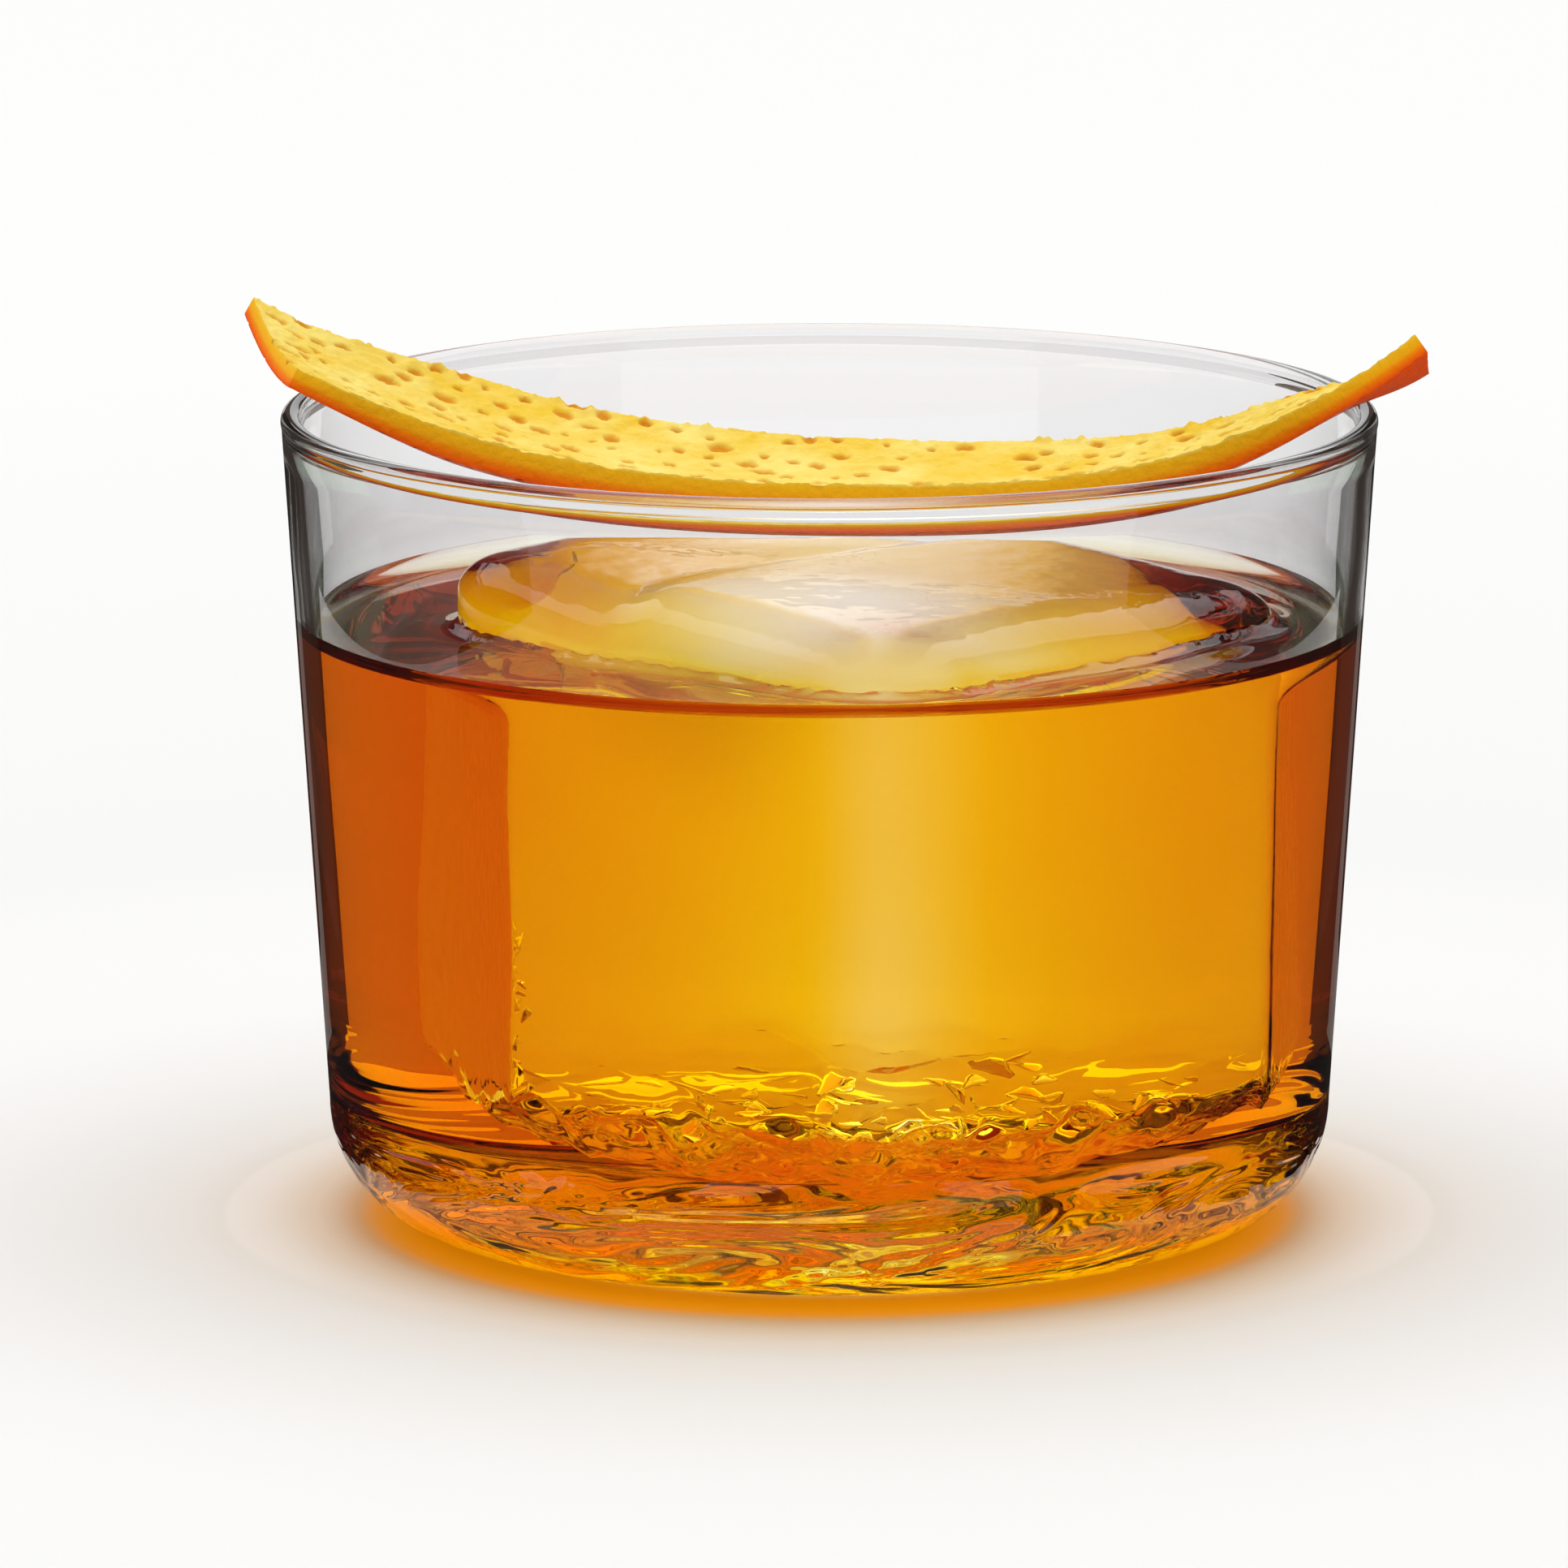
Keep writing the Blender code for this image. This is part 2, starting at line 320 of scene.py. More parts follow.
def makeClearGlass():
    material, nodes, links, shader = newMaterial("clearGlass")
    tint = tumblerTint
    bendByBoundary(nodes, links, shader, "glass")
    place, axes = objectAxes(nodes, links)
    # the waves of the foot break up what shows through it
    streaks = addNode(nodes, "ShaderNodeVectorMath", operation="MULTIPLY")
    streaks.inputs[1].default_value = tint["footStretch"]
    links.new(place, streaks.inputs[0])
    waves = addNode(nodes, "ShaderNodeTexNoise", Scale=62.0, Detail=2.0, Distortion=1.4)
    links.new(streaks.outputs["Vector"], waves.inputs["Vector"])
    height = addNode(nodes, "ShaderNodeMath", operation="MULTIPLY")
    links.new(waves.outputs["Fac"], height.inputs[0])
    links.new(mapRange(nodes, axes["Z"], *tint["footFade"], 1.0, 0.0), height.inputs[1])
    wavy = addNode(nodes, "ShaderNodeBump", Strength=1.0, Distance=tint["footWaves"])
    links.new(height.outputs["Value"], wavy.inputs["Height"])
    # painted shade: the glass above the drink is tinted grey, darkening what shows through it there
    grey = colorRamp(nodes, [(0.0, (1, 1, 1)), (1.0, tint["dryPaintedGrey"])])
    links.new(mapRange(nodes, axes["Z"], *tint["dryFrom"]), grey.inputs["Fac"])
    links.new(grey.outputs["Color"], shader.inputs["Base Color"])
    # the wall is almost even
    swell = addNode(nodes, "ShaderNodeTexNoise", Scale=55.0, Detail=1.0)
    links.new(place, swell.inputs["Vector"])
    even = addNode(nodes, "ShaderNodeBump", Strength=0.05, Distance=1 * mm)
    links.new(swell.outputs["Fac"], even.inputs["Height"])
    links.new(wavy.outputs["Normal"], even.inputs["Normal"])
    links.new(even.outputs["Normal"], shader.inputs["Normal"])
    absorbLight(nodes, links, tint)
    return material


iceShape = {
    "side": 46.5 * mm,
    "bottom": 9.5 * mm,
    "top": 49.8 * mm,
    "turn": math.radians(48),
    "offset": (3.0 * mm, -1.3 * mm),
    "cornerRadius": 7.2 * mm,
    "rimRadius": 3.4 * mm,
    "crowding": 1.5,              # the points crowd towards the edges of the block
    "tilt": 0.038,
    "belly": 4.3 * mm,            # how far the middle of the underside hangs down
    "backBulge": 3.2 * mm,
    "frontBulge": 1.2 * mm,
    "leftFace": -22.5 * mm,       # below the surface the left corner has melted to a flat face
    "rightFace": 20.8 * mm,
    "rightFaceTurn": math.radians(16),    # it looks a little to the back
    "leftSoftness": 0.6 * mm,     # of the shoulder where a melted face begins
    "rightSoftness": 2 * mm,
    "meltedBelow": (41.0 * mm, 44.6 * mm),
    "divisions": 84,
    "pocketInset": 0.05 * mm,
}
iceRough = {
    "waveRate": 90,               # waves of the sides for each metre
    "waveHeight": 0.7 * mm,
    "waveArm": 24 * mm,           # the distance from the middle where they have that height
    "topPart": 0.6,               # the fold and the mound act above this part of the height
    "mound": 0.7 * mm,
    "moundPower": 2.4,
    "foldFacing": (0.573, 0.82),  # a fold crosses the top; the part left of it leans to the front
    "foldAt": 5.2 * mm,
    "foldSlope": 0.10,
    "foldTurns": (9 * mm, 24 * mm),       # where the leaning part is level, and where it stops
    "foldWidth": (-1.2 * mm, 2.2 * mm),
    "foldBend": (1.6 * mm, 210),  # how far the fold winds and how often
    "underPart": 0.3,             # the chips and the belly act below this part of the height
    "chips": ((260, 1.8 * mm), (520, 0.8 * mm), (1100, 0.3 * mm)),    # chips for each metre and their height
    "cup": 1.2 * mm,
}


def roundedBlockPoint(cubePoint):
    ice = iceShape
    half = (ice["side"] / 2, ice["side"] / 2, (ice["top"] - ice["bottom"]) / 2)
    radii = (ice["cornerRadius"], ice["cornerRadius"], ice["rimRadius"])
    raw = [math.copysign(1 - (1 - abs(c)) ** ice["crowding"], c) * h for c, h in zip(cubePoint, half)]
    core = [max(r - h, min(h - r, p)) for p, h, r in zip(raw, half, radii)]
    outward = Vector([(p - c) / r for p, c, r in zip(raw, core, radii)])
    if outward.length == 0:
        return Vector(raw)
    outward.normalize()
    return Vector([c + o * r for c, o, r in zip(core, outward, radii)])


def sideBulge(toward, along):
    half = iceShape["side"] / 2
    swell = iceShape["backBulge"] if toward > 0 else iceShape["frontBulge"]
    return swell * toward / half * max(0, 1 - (along / half) ** 2)


def softLimit(value, limit, softness):
    # keeps a coordinate on the inner side of a face, with a small round shoulder
    over = (value - limit) * math.copysign(1, limit)
    if over <= 0:
        return value
    return limit + math.copysign(softness * (1 - math.exp(-over / softness)), limit)


def meltFace(point, turned, limit, softness, melted):
    # one face melted flat below the surface of the drink
    turn = Matrix.Rotation(turned, 3, "Z")
    seen = turn @ point
    seen.x += (softLimit(seen.x, limit, softness) - seen.x) * melted
    return turn.inverted() @ seen


def iceRelief(point):
    ice, rough = iceShape, iceRough
    height = point.z / (ice["top"] - ice["bottom"]) + 0.5
    wave = 1 + noise.noise(point * rough["waveRate"]) * rough["waveHeight"] / rough["waveArm"]
    moved = Vector((point.x * wave, point.y * wave, point.z))
    reach = math.hypot(point.x, point.y) / (ice["side"] / 2)
    moved.x += sideBulge(point.x, point.y)
    moved.y += sideBulge(point.y, point.x)
    cosTurn, sinTurn = math.cos(ice["turn"]), math.sin(ice["turn"])
    if height > rough["topPart"]:
        toTheRight = point.x * cosTurn - point.y * sinTurn
        toTheBack = point.x * sinTurn + point.y * cosTurn
        mound = rough["mound"] * min(1, reach) ** rough["moundPower"] + ice["tilt"] * toTheRight
        bend = rough["foldBend"][0] * math.sin(toTheBack * rough["foldBend"][1])
        backward, leftward = rough["foldFacing"]
        past = backward * toTheBack - leftward * toTheRight - rough["foldAt"] + bend    # beyond the fold
        level, stop = rough["foldTurns"]
        rise = rough["foldSlope"] * (min(past, stop) - level)
        crease = -rise * float(blendStep(past, *rough["foldWidth"]))
        moved.z -= (mound + crease) * (height - rough["topPart"]) / (1 - rough["topPart"])
    if height < rough["underPart"]:
        chips = sum(noise.noise(point * rate) * depth for rate, depth in rough["chips"])
        belly = ice["belly"] * max(0, 1 - reach ** 2)
        moved.z += (chips + rough["cup"] * reach - belly) * (1 - height / rough["underPart"])
    worldZ = moved.z + (ice["top"] + ice["bottom"]) / 2
    melted = float(1 - blendStep(worldZ, *ice["meltedBelow"]))
    if melted > 0:
        moved = meltFace(moved, ice["turn"], ice["leftFace"], ice["leftSoftness"], melted)
        rightTurn = ice["turn"] - ice["rightFaceTurn"]
        moved = meltFace(moved, rightTurn, ice["rightFace"], ice["rightSoftness"], melted)
    return moved


def iceObject(name, grown):
    ice = iceShape
    block = bmesh.new()
    bmesh.ops.create_cube(block, size=2)
    bmesh.ops.subdivide_edges(block, edges=block.edges[:], cuts=ice["divisions"] - 1, use_grid_fill=True)
    for vert in block.verts:
        vert.co = iceRelief(roundedBlockPoint(vert.co))
    block.normal_update()
    outward = [vert.normal.copy() for vert in block.verts]
    for vert, normal in zip(block.verts, outward):
        vert.co += normal * grown
    mesh = bpy.data.meshes.new(name)
    block.to_mesh(mesh)
    block.free()
    middle = Matrix.Translation((*ice["offset"], (ice["top"] + ice["bottom"]) / 2))
    mesh.transform(middle @ Matrix.Rotation(ice["turn"], 4, "Z"))
    mesh.shade_smooth()
    piece = bpy.data.objects.new(name, mesh)
    bpy.context.scene.collection.objects.link(piece)
    return piece


# painted light: the colours that the drink round the ice gives the light through it, painted into the clear
# ice, and a milky spot
icePaintedLightAndFrost = {
    "wetTo": 45.6 * mm,           # heights between which the wet colours turn into the dry ones
    "dryFrom": 46.6 * mm,
    "reach": 40,                  # mm to either side
    "milkAt": (-2 * mm, -17 * mm, 49.5 * mm),     # a milky spot at the front of the top
    "milkReach": (3 * mm, 19 * mm),
    "milkClear": 0.45,            # how clear its middle still is
    "wetPaintedLight": (                      # painted light, by x in mm, under the surface of the drink
        (-20, (1, 1, 0.3)),
        (-12, (1, 0.92, 0.1)),
        (-2, (0.97, 0.80, 0.03)),
        (0, (0.97, 0.84, 0.4)),
        (1.7, (0.98, 0.88, 1)),
        (3.5, (0.98, 0.88, 1)),
        (7, (0.97, 0.79, 0.34)),
        (10.8, (0.97, 0.74, 0.02)),
        (20, (0.97, 0.80, 0.02)),
    ),
    "dryPaintedLight": (                      # painted light above it
        (-24, (1, 1, 0)),
        (-20, (1, 0.75, 0.004)),
        (-15, (1, 0.84, 0.12)),
        (-7.5, (1, 0.92, 0.60)),
        (0, (1, 0.97, 0.92)),
        (17, (1, 1, 0.9)),
        (22, (1, 0.8, 0.06)),
        (27, (0.7, 0.5, 0)),
    ),
}


def makeClearIce():
    material, nodes, links, shader = newMaterial("clearIce")
    bendByBoundary(nodes, links, shader, "ice")
    place, axes = objectAxes(nodes, links)
    # painted light: the colour of the drink inside and behind the ice is painted into the ice, less so in the
    # middle
    reach = icePaintedLightAndFrost["reach"]
    along = mapRange(nodes, axes["X"], -reach * mm, reach * mm)
    wetPaintedLight, dryPaintedLight = [colorRamp(nodes, rampAcross(icePaintedLightAndFrost[key], reach)) for key in ("wetPaintedLight", "dryPaintedLight")]
    links.new(along, wetPaintedLight.inputs["Fac"])
    links.new(along, dryPaintedLight.inputs["Fac"])
    dryness = mapRange(nodes, axes["Z"], icePaintedLightAndFrost["wetTo"], icePaintedLightAndFrost["dryFrom"])
    tint = mixColors(nodes, links, dryness, wetPaintedLight.outputs["Color"], dryPaintedLight.outputs["Color"])
    links.new(tint, shader.inputs["Base Color"])
    away = addNode(nodes, "ShaderNodeVectorMath", operation="DISTANCE")
    away.inputs[1].default_value = icePaintedLightAndFrost["milkAt"]
    links.new(place, away.inputs[0])
    clear = mapRange(nodes, away.outputs["Value"], *icePaintedLightAndFrost["milkReach"], icePaintedLightAndFrost["milkClear"], 1.0,
                     "SMOOTHSTEP")
    links.new(clear, shader.inputs["Transmission Weight"])
    # fine ripples of the melting skin
    ripple = addNode(nodes, "ShaderNodeTexNoise", Scale=260.0, Detail=2.0)
    bump = addNode(nodes, "ShaderNodeBump", Strength=0.10, Distance=1 * mm)
    links.new(place, ripple.inputs["Vector"])
    links.new(ripple.outputs["Fac"], bump.inputs["Height"])
    links.new(bump.outputs["Normal"], shader.inputs["Normal"])
    return material


def makeIce():
    block = iceObject("iceBlock", 0)
    wetTop = drinkShape["level"] + drinkShape["iceRise"]
    setBoundary(block, "ice", lambda face: "drink" if face.center.z < wetTop else "air")
    block.data.materials.append(makeClearIce())
    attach(block, "root")
    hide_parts("ice_block")
    print("ice made")
    return block


iceFlaws = {
    "seed": 5,
    "cracks": 230,
    "crackRadius": (0.25 * mm, 1.3 * mm),
    "crackThickness": 0.09,       # of the radius
    "crackWobble": (3, 0.25),     # lobes round its edge and their size
    "underTurn": 5,               # every so many cracks one lies at the left face, the others underneath
    "underReach": (18 * mm, 27 * mm),     # to each side, and both ways added up
    "underZ": 7.6 * mm,
    "underRise": (4.6 * mm, 26 * mm),     # the underside rises by this much, out to this far
    "underSpread": (0, 1.6 * mm),
    "underTilt": 0.5,
    "leftSpread": ((-19.0 * mm, -18.3 * mm), (-9 * mm, 9 * mm), (12 * mm, 24 * mm)),
    "leftSize": 0.5,
    "leftTilt": 1.2,
    "bubbles": 46,
    "bubbleRadius": (0.05 * mm, 0.17 * mm),
    "bubbleSpot": (1.2 * mm, 3.0 * mm, 47.6 * mm),
    "bubbleSpread": (1.5 * mm, 2.2 * mm, 0.7 * mm),
    "bubbleThickness": 0.9,
    "bubbleTilt": 0.3,
}


def flatPebble(center, radius, thickness, turn):
    rings, around = 6, 12
    lobes, wobbleSize = iceFlaws["crackWobble"]
    start = center[0] * 9000      # so that the lobes of two pebbles look different ways
    points = []
    for i in range(1, rings):
        up = math.pi * i / rings
        for j in range(around):
            side = 2 * math.pi * j / around
            wobble = radius * (1 + wobbleSize * math.sin(lobes * side + start))
            local = Vector((math.sin(up) * math.cos(side) * wobble, math.sin(up) * math.sin(side) * wobble,
                            math.cos(up) * radius * thickness))
            points.append(Vector(center) + turn @ local)
    points += [Vector(center) + turn @ Vector((0, 0, height * radius * thickness)) for height in (1, -1)]
    top, bottom = len(points) - 2, len(points) - 1
    faces = []
    for j in range(around):
        k = (j + 1) % around
        faces.append((top, j, k))
        faces.append((bottom, (rings - 2) * around + k, (rings - 2) * around + j))
        for i in range(rings - 2):
            faces.append((i * around + j, (i + 1) * around + j, (i + 1) * around + k, i * around + k))
    return points, faces


def makeFlaws():
    # small cracks along the underside and the left face of the ice, and a few bubbles under its top
    flaws, draw = iceFlaws, random.Random(iceFlaws["seed"])
    points, faces = [], []

    def put(center, radius, thickness, tilt):
        turn = Euler((draw.gauss(0, tilt), draw.gauss(0, tilt), draw.uniform(0, 6.28))).to_matrix()
        more, moreFaces = flatPebble(center, radius, thickness, turn)
        faces.extend(tuple(v + len(points) for v in face) for face in moreFaces)
        points.extend(more)

    far, corner = flaws["underReach"]
    rise, riseReach = flaws["underRise"]
    for i in range(flaws["cracks"]):
        radius = draw.uniform(*flaws["crackRadius"])
        if i % flaws["underTurn"]:
            right, back = draw.uniform(-far, far), draw.uniform(-far, far)
            if abs(right) + abs(back) > corner:
                continue
            up = rise * min(1, (right ** 2 + back ** 2) / riseReach ** 2)
            low = flaws["underZ"] + up + draw.uniform(*flaws["underSpread"])
            center = (right + iceShape["offset"][0], back + iceShape["offset"][1], low)
            put(center, radius, flaws["crackThickness"], flaws["underTilt"])
        else:
            center = tuple(draw.uniform(*spread) for spread in flaws["leftSpread"])
            put(center, radius * flaws["leftSize"], flaws["crackThickness"], flaws["leftTilt"])
    x, y, z = flaws["bubbleSpot"]
    wide, deep, down = flaws["bubbleSpread"]
    for i in range(flaws["bubbles"]):
        center = (x + draw.gauss(0, wide), y + draw.gauss(0, deep), z + draw.uniform(-down, 0))
        put(center, draw.uniform(*flaws["bubbleRadius"]), flaws["bubbleThickness"], flaws["bubbleTilt"])
    trapped = addPiece("trappedAir", points, faces)
    material, nodes, links, shader = newMaterial("trappedAir")
    shader.inputs["Base Color"].default_value = (1, 1, 1, 1)
    shader.inputs["Roughness"].default_value = 0.05
    shader.inputs["IOR"].default_value = bending["air"] / bending["ice"]
    shader.inputs["Transmission Weight"].default_value = 1.0
    trapped.data.materials.append(material)
    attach(trapped, "root")
    print("flaws in the ice,", len(trapped.data.polygons), "faces")


drinkShape = {
    "level": 44.8 * mm,
    "meniscusRise": 1.3 * mm,
    "meniscusWidth": 2.4 * mm,
    "meniscusPower": 2.2,
    "iceRise": 0.9 * mm,          # how far the surface climbs the ice
    "iceRiseWidth": 0.8 * mm,
    "bite": 0.1 * mm,             # how far the drink reaches into the glass, so that no air shows
    "touch": 0.03 * mm,           # a face this near to the glass counts as touching it
    "floorRadius": 27.0 * mm,
    "sharpAngle": math.radians(50),
    "steps": 256,
    "surfaceRings": 90,
    "wallRings": 26,
    "cornerRings": 20,
    "floorRings": 14,
}
drinkColor = {
    "density": 200.0,             # absorption for each metre at full strength
    "passes": (0.957, 0.79, 0.0),
}


def makeDrink(iceBlock):
    d = drinkShape
    wallTop = d["level"] + d["meniscusRise"]
    edge = innerRadius(wallTop)
    profile = []
    for r in spaced(0, edge, d["surfaceRings"]):
        t = max(0, (r - edge + d["meniscusWidth"]) / d["meniscusWidth"])
        profile.append((r, d["level"] + d["meniscusRise"] * t ** d["meniscusPower"]))
    profile.append((edge + d["bite"], wallTop))
    floor = tumblerShape["floorThickness"]
    wallHeights = spaced(wallTop, floor + tumblerShape["innerCorner"], d["wallRings"])[1:-1]
    profile += [(innerRadius(z) + d["bite"], z) for z in wallHeights]
    profile += reversed(innerCornerPoints(-d["bite"], d["cornerRings"]))
    profile += [(r, floor - d["bite"]) for r in spaced(d["floorRadius"], 0, d["floorRings"])]
    drink = turnedPiece("amberDrink", profile, d["steps"])
    climbIce(drink, iceBlock)
    pocket = iceObject("icePocket", -iceShape["pocketInset"])
    cut = drink.modifiers.new("icePocket", "BOOLEAN")
    cut.operation = "DIFFERENCE"
    cut.solver = "MANIFOLD"
    cut.object = pocket
    evaluated = drink.evaluated_get(bpy.context.evaluated_depsgraph_get())
    carved = bpy.data.meshes.new_from_object(evaluated)
    drink.modifiers.clear()
    drink.data = carved
    bpy.data.objects.remove(pocket)
    drink.data.shade_smooth()
    drink.data.set_sharp_from_angle(angle=d["sharpAngle"])
    setBoundary(drink, "drink", drinkTouches)
    drink.data.materials.clear()
    drink.data.materials.append(makeAmber())
    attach(drink, "root")
    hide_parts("drink")
    print("drink poured,", len(drink.data.polygons), "faces")


def drinkTouches(face):
    # the glass round the outside, air on top, and nothing in the ice pocket, whose bending the ice does
    g, slack = tumblerShape, drinkShape["touch"]
    z = face.center.z
    radius = math.hypot(face.center.x, face.center.y)
    cornerTop = g["floorThickness"] + g["innerCorner"]
    cornerMid = innerRadius(cornerTop) - g["innerCorner"]
    if z < g["floorThickness"] + slack:
        return "glass"
    if z >= cornerTop and radius > innerRadius(z) - slack:
        return "glass"
    fromMid = math.hypot(radius - cornerMid, z - cornerTop)
    if z < cornerTop and radius > cornerMid and fromMid > g["innerCorner"] - slack:
        return "glass"
    if z > drinkShape["level"] - slack and face.normal.z > 0.3:
        return "air"
    return None


def climbIce(drink, iceBlock):
    # the surface curves up where it wets the ice
    d = drinkShape
    band = [v.co for v in iceBlock.data.vertices if abs(v.co.z - d["level"]) < d["iceRise"]]
    tree = KDTree(len(band))
    for i, co in enumerate(band):
        tree.insert((co.x, co.y, 0), i)
    tree.balance()
    for vert in drink.data.vertices:
        if vert.co.z < d["level"] - 0.01 * mm:
            continue
        away = tree.find((vert.co.x, vert.co.y, 0))[2]
        vert.co.z += d["iceRise"] * math.exp(-away / d["iceRiseWidth"])


def makeAmber():
    material, nodes, links, shader = newMaterial("amberSpirit")
    shader.inputs["Base Color"].default_value = (1, 1, 1, 1)
    bendByBoundary(nodes, links, shader, "drink")
    absorbLight(nodes, links, drinkColor)
    return material


peelShape = {
    "leftX": -40.0 * mm,
    "rightX": 43.6 * mm,
    "length": 84 * mm,            # of the strip laid flat
    "leftSlant": -3.9 * mm,       # how much further right its back corner is
    "rightSlant": 0.6 * mm,
    "width": 22.0 * mm,
    "leftNarrowing": (0.32, 26 * mm, 44 * mm),    # part of the width that is lost, and from and to where
    "rightNarrowing": (0.53, 12 * mm, 41 * mm),
    "thickness": 2.3 * mm,
    "thinning": (0.3, 26 * mm, 40 * mm),
    "frontY": -5.2 * mm,
    "skew": -0.12,
    "sagZ": 56.5 * mm,
    "leftRise": (8.0 * mm, 2.4),  # height and steepness
    "rightRise": (12.1 * mm, 2.9),
    "crossRadius": 36 * mm,
    "roll": -0.4,                 # degrees
    "twist": -95,                 # degrees for each metre
    "curl": (16, 34 * mm, 45 * mm),       # degrees more at the right end, from and to where
    "sharpAngle": math.radians(48),
    "alongSteps": 430,
    "acrossSteps": 90,
    "depthSteps": 10,
}
peelFeel = {
    "seed": 11,
    "pits": 210,
    "pitSpacing": 1.7 * mm,
    "pitRadius": (0.25 * mm, 0.95 * mm),
    "pitDepth": 0.34 * mm,
    "leftHeavy": 0.55,            # the pits are denser at the left, the pores are not
    "pores": 900,
    "poreSpacing": 0.9 * mm,
    "poreRadius": (0.294 * mm, 0.42 * mm),
    "poreDepth": 0.10 * mm,
    "tries": 40,                  # for each dimple
    "stretch": (0.75, 1.3),       # length of a dimple against its width
    "bowl": 0.8,                  # less is flatter in the middle of a dimple
    "crumb": 0.16 * mm,
    "crumbScale": (900, 4),       # crumbs for each metre, and how many sizes of them
    "crumbMix": (0.8, 2.1),       # how the sizes fall off and how far apart they are
    "edgeCrumb": 0.30 * mm,
    "edgeScale": (260, 2),
    "edgeFrom": 0.93,             # the crumbly back edge of the pith, across the strip
}


def peelSurface(along, across):
    # the pith side; along runs left to right and across front to back, both 0 to 1
    p = peelShape
    left = p["leftX"] + p["leftSlant"] * across
    x = left + (p["rightX"] + p["rightSlant"] * across - left) * along
    rise = np.where(x < 0, p["leftRise"][0] * np.abs(x / p["leftX"]) ** p["leftRise"][1],
                    p["rightRise"][0] * np.abs(x / p["rightX"]) ** p["rightRise"][1])
    (leftLoss, *leftPart), (rightLoss, *rightPart) = p["leftNarrowing"], p["rightNarrowing"]
    width = p["width"] * (1 - leftLoss * blendStep(-x, *leftPart) - rightLoss * blendStep(x, *rightPart))
    curl, *curlPart = p["curl"]
    roll = np.radians(p["twist"] * x + p["roll"] - curl * blendStep(x, *curlPart))
    hollow = -4 * across * (1 - across) * width ** 2 / (8 * p["crossRadius"])
    y = p["frontY"] + p["skew"] * x + width * across * np.cos(roll)
    z = p["sagZ"] + rise + width * across * np.sin(roll) + hollow
    return np.stack([x, y, z], axis=-1)


def peelNormal(along, across):
    tiny = 1e-4
    lengthwise = peelSurface(along + tiny, across) - peelSurface(along - tiny, across)
    crosswise = peelSurface(along, across + tiny) - peelSurface(along, across - tiny)
    normal = np.cross(lengthwise, crosswise)
    return normal / np.linalg.norm(normal, axis=-1, keepdims=True)


def peelThickness(x):
    loss, *part = peelShape["thinning"]
    return peelShape["thickness"] * (1 - loss * blendStep(np.abs(x), *part))


def scatterDimples(kind, seed, leftHeavy):
    # (along, across, radius, stretch) of dimples in metres over the strip laid flat
    feel, draw = peelFeel, random.Random(seed)
    count, spacing, radii = feel[kind + "s"], feel[kind + "Spacing"], feel[kind + "Radius"]
    length, width = peelShape["length"], peelShape["width"]
    found = []
    for attempt in range(count * feel["tries"]):
        spot = (draw.random() * length, draw.random() * width)
        if leftHeavy and draw.random() < leftHeavy * spot[0] / length:
            continue
        if all(math.dist(spot, other[:2]) > spacing for other in found):
            found.append((*spot, draw.uniform(*radii), draw.uniform(*feel["stretch"])))
        if len(found) == count:
            break
    return np.array(found)


def dimpleDepth(along, across, dimples):
    # 1 in the middle of a dimple, 0 outside, for points given in metres over the strip laid flat
    deepest = np.zeros(len(along))
    for a, b, radius, stretch in dimples:
        near = np.nonzero(np.abs(along - a) < peelFeel["stretch"][1] * radius)[0]
        apart = ((along[near] - a) / (radius * stretch)) ** 2 + ((across[near] - b) / radius) ** 2
        deepest[near] = np.maximum(deepest[near], np.clip(1 - apart, 0, 1) ** peelFeel["bowl"])
    return deepest


def boxSurfaceGrid(nx, ny, nz):
    # vertices and quads on the surface of an nx by ny by nz block of cells
    index, faces = {}, []

    def side(count1, count2, corner):
        for a in range(count1):
            for b in range(count2):
                cells = [corner(*cell) for cell in ((a, b), (a + 1, b), (a + 1, b + 1), (a, b + 1))]
                faces.append(tuple(index.setdefault(cell, len(index)) for cell in cells))

    for k in (0, nz):
        side(nx, ny, lambda a, b: (a, b, k))
    for j in (0, ny):
        side(nx, nz, lambda a, b: (a, j, b))
    for i in (0, nx):
        side(ny, nz, lambda a, b: (i, a, b))
    return np.array(list(index)), faces


def roughness(points, scale, sizes):
    return np.array([noise.fractal(Vector(p) * scale, *peelFeel["crumbMix"], sizes) for p in points])


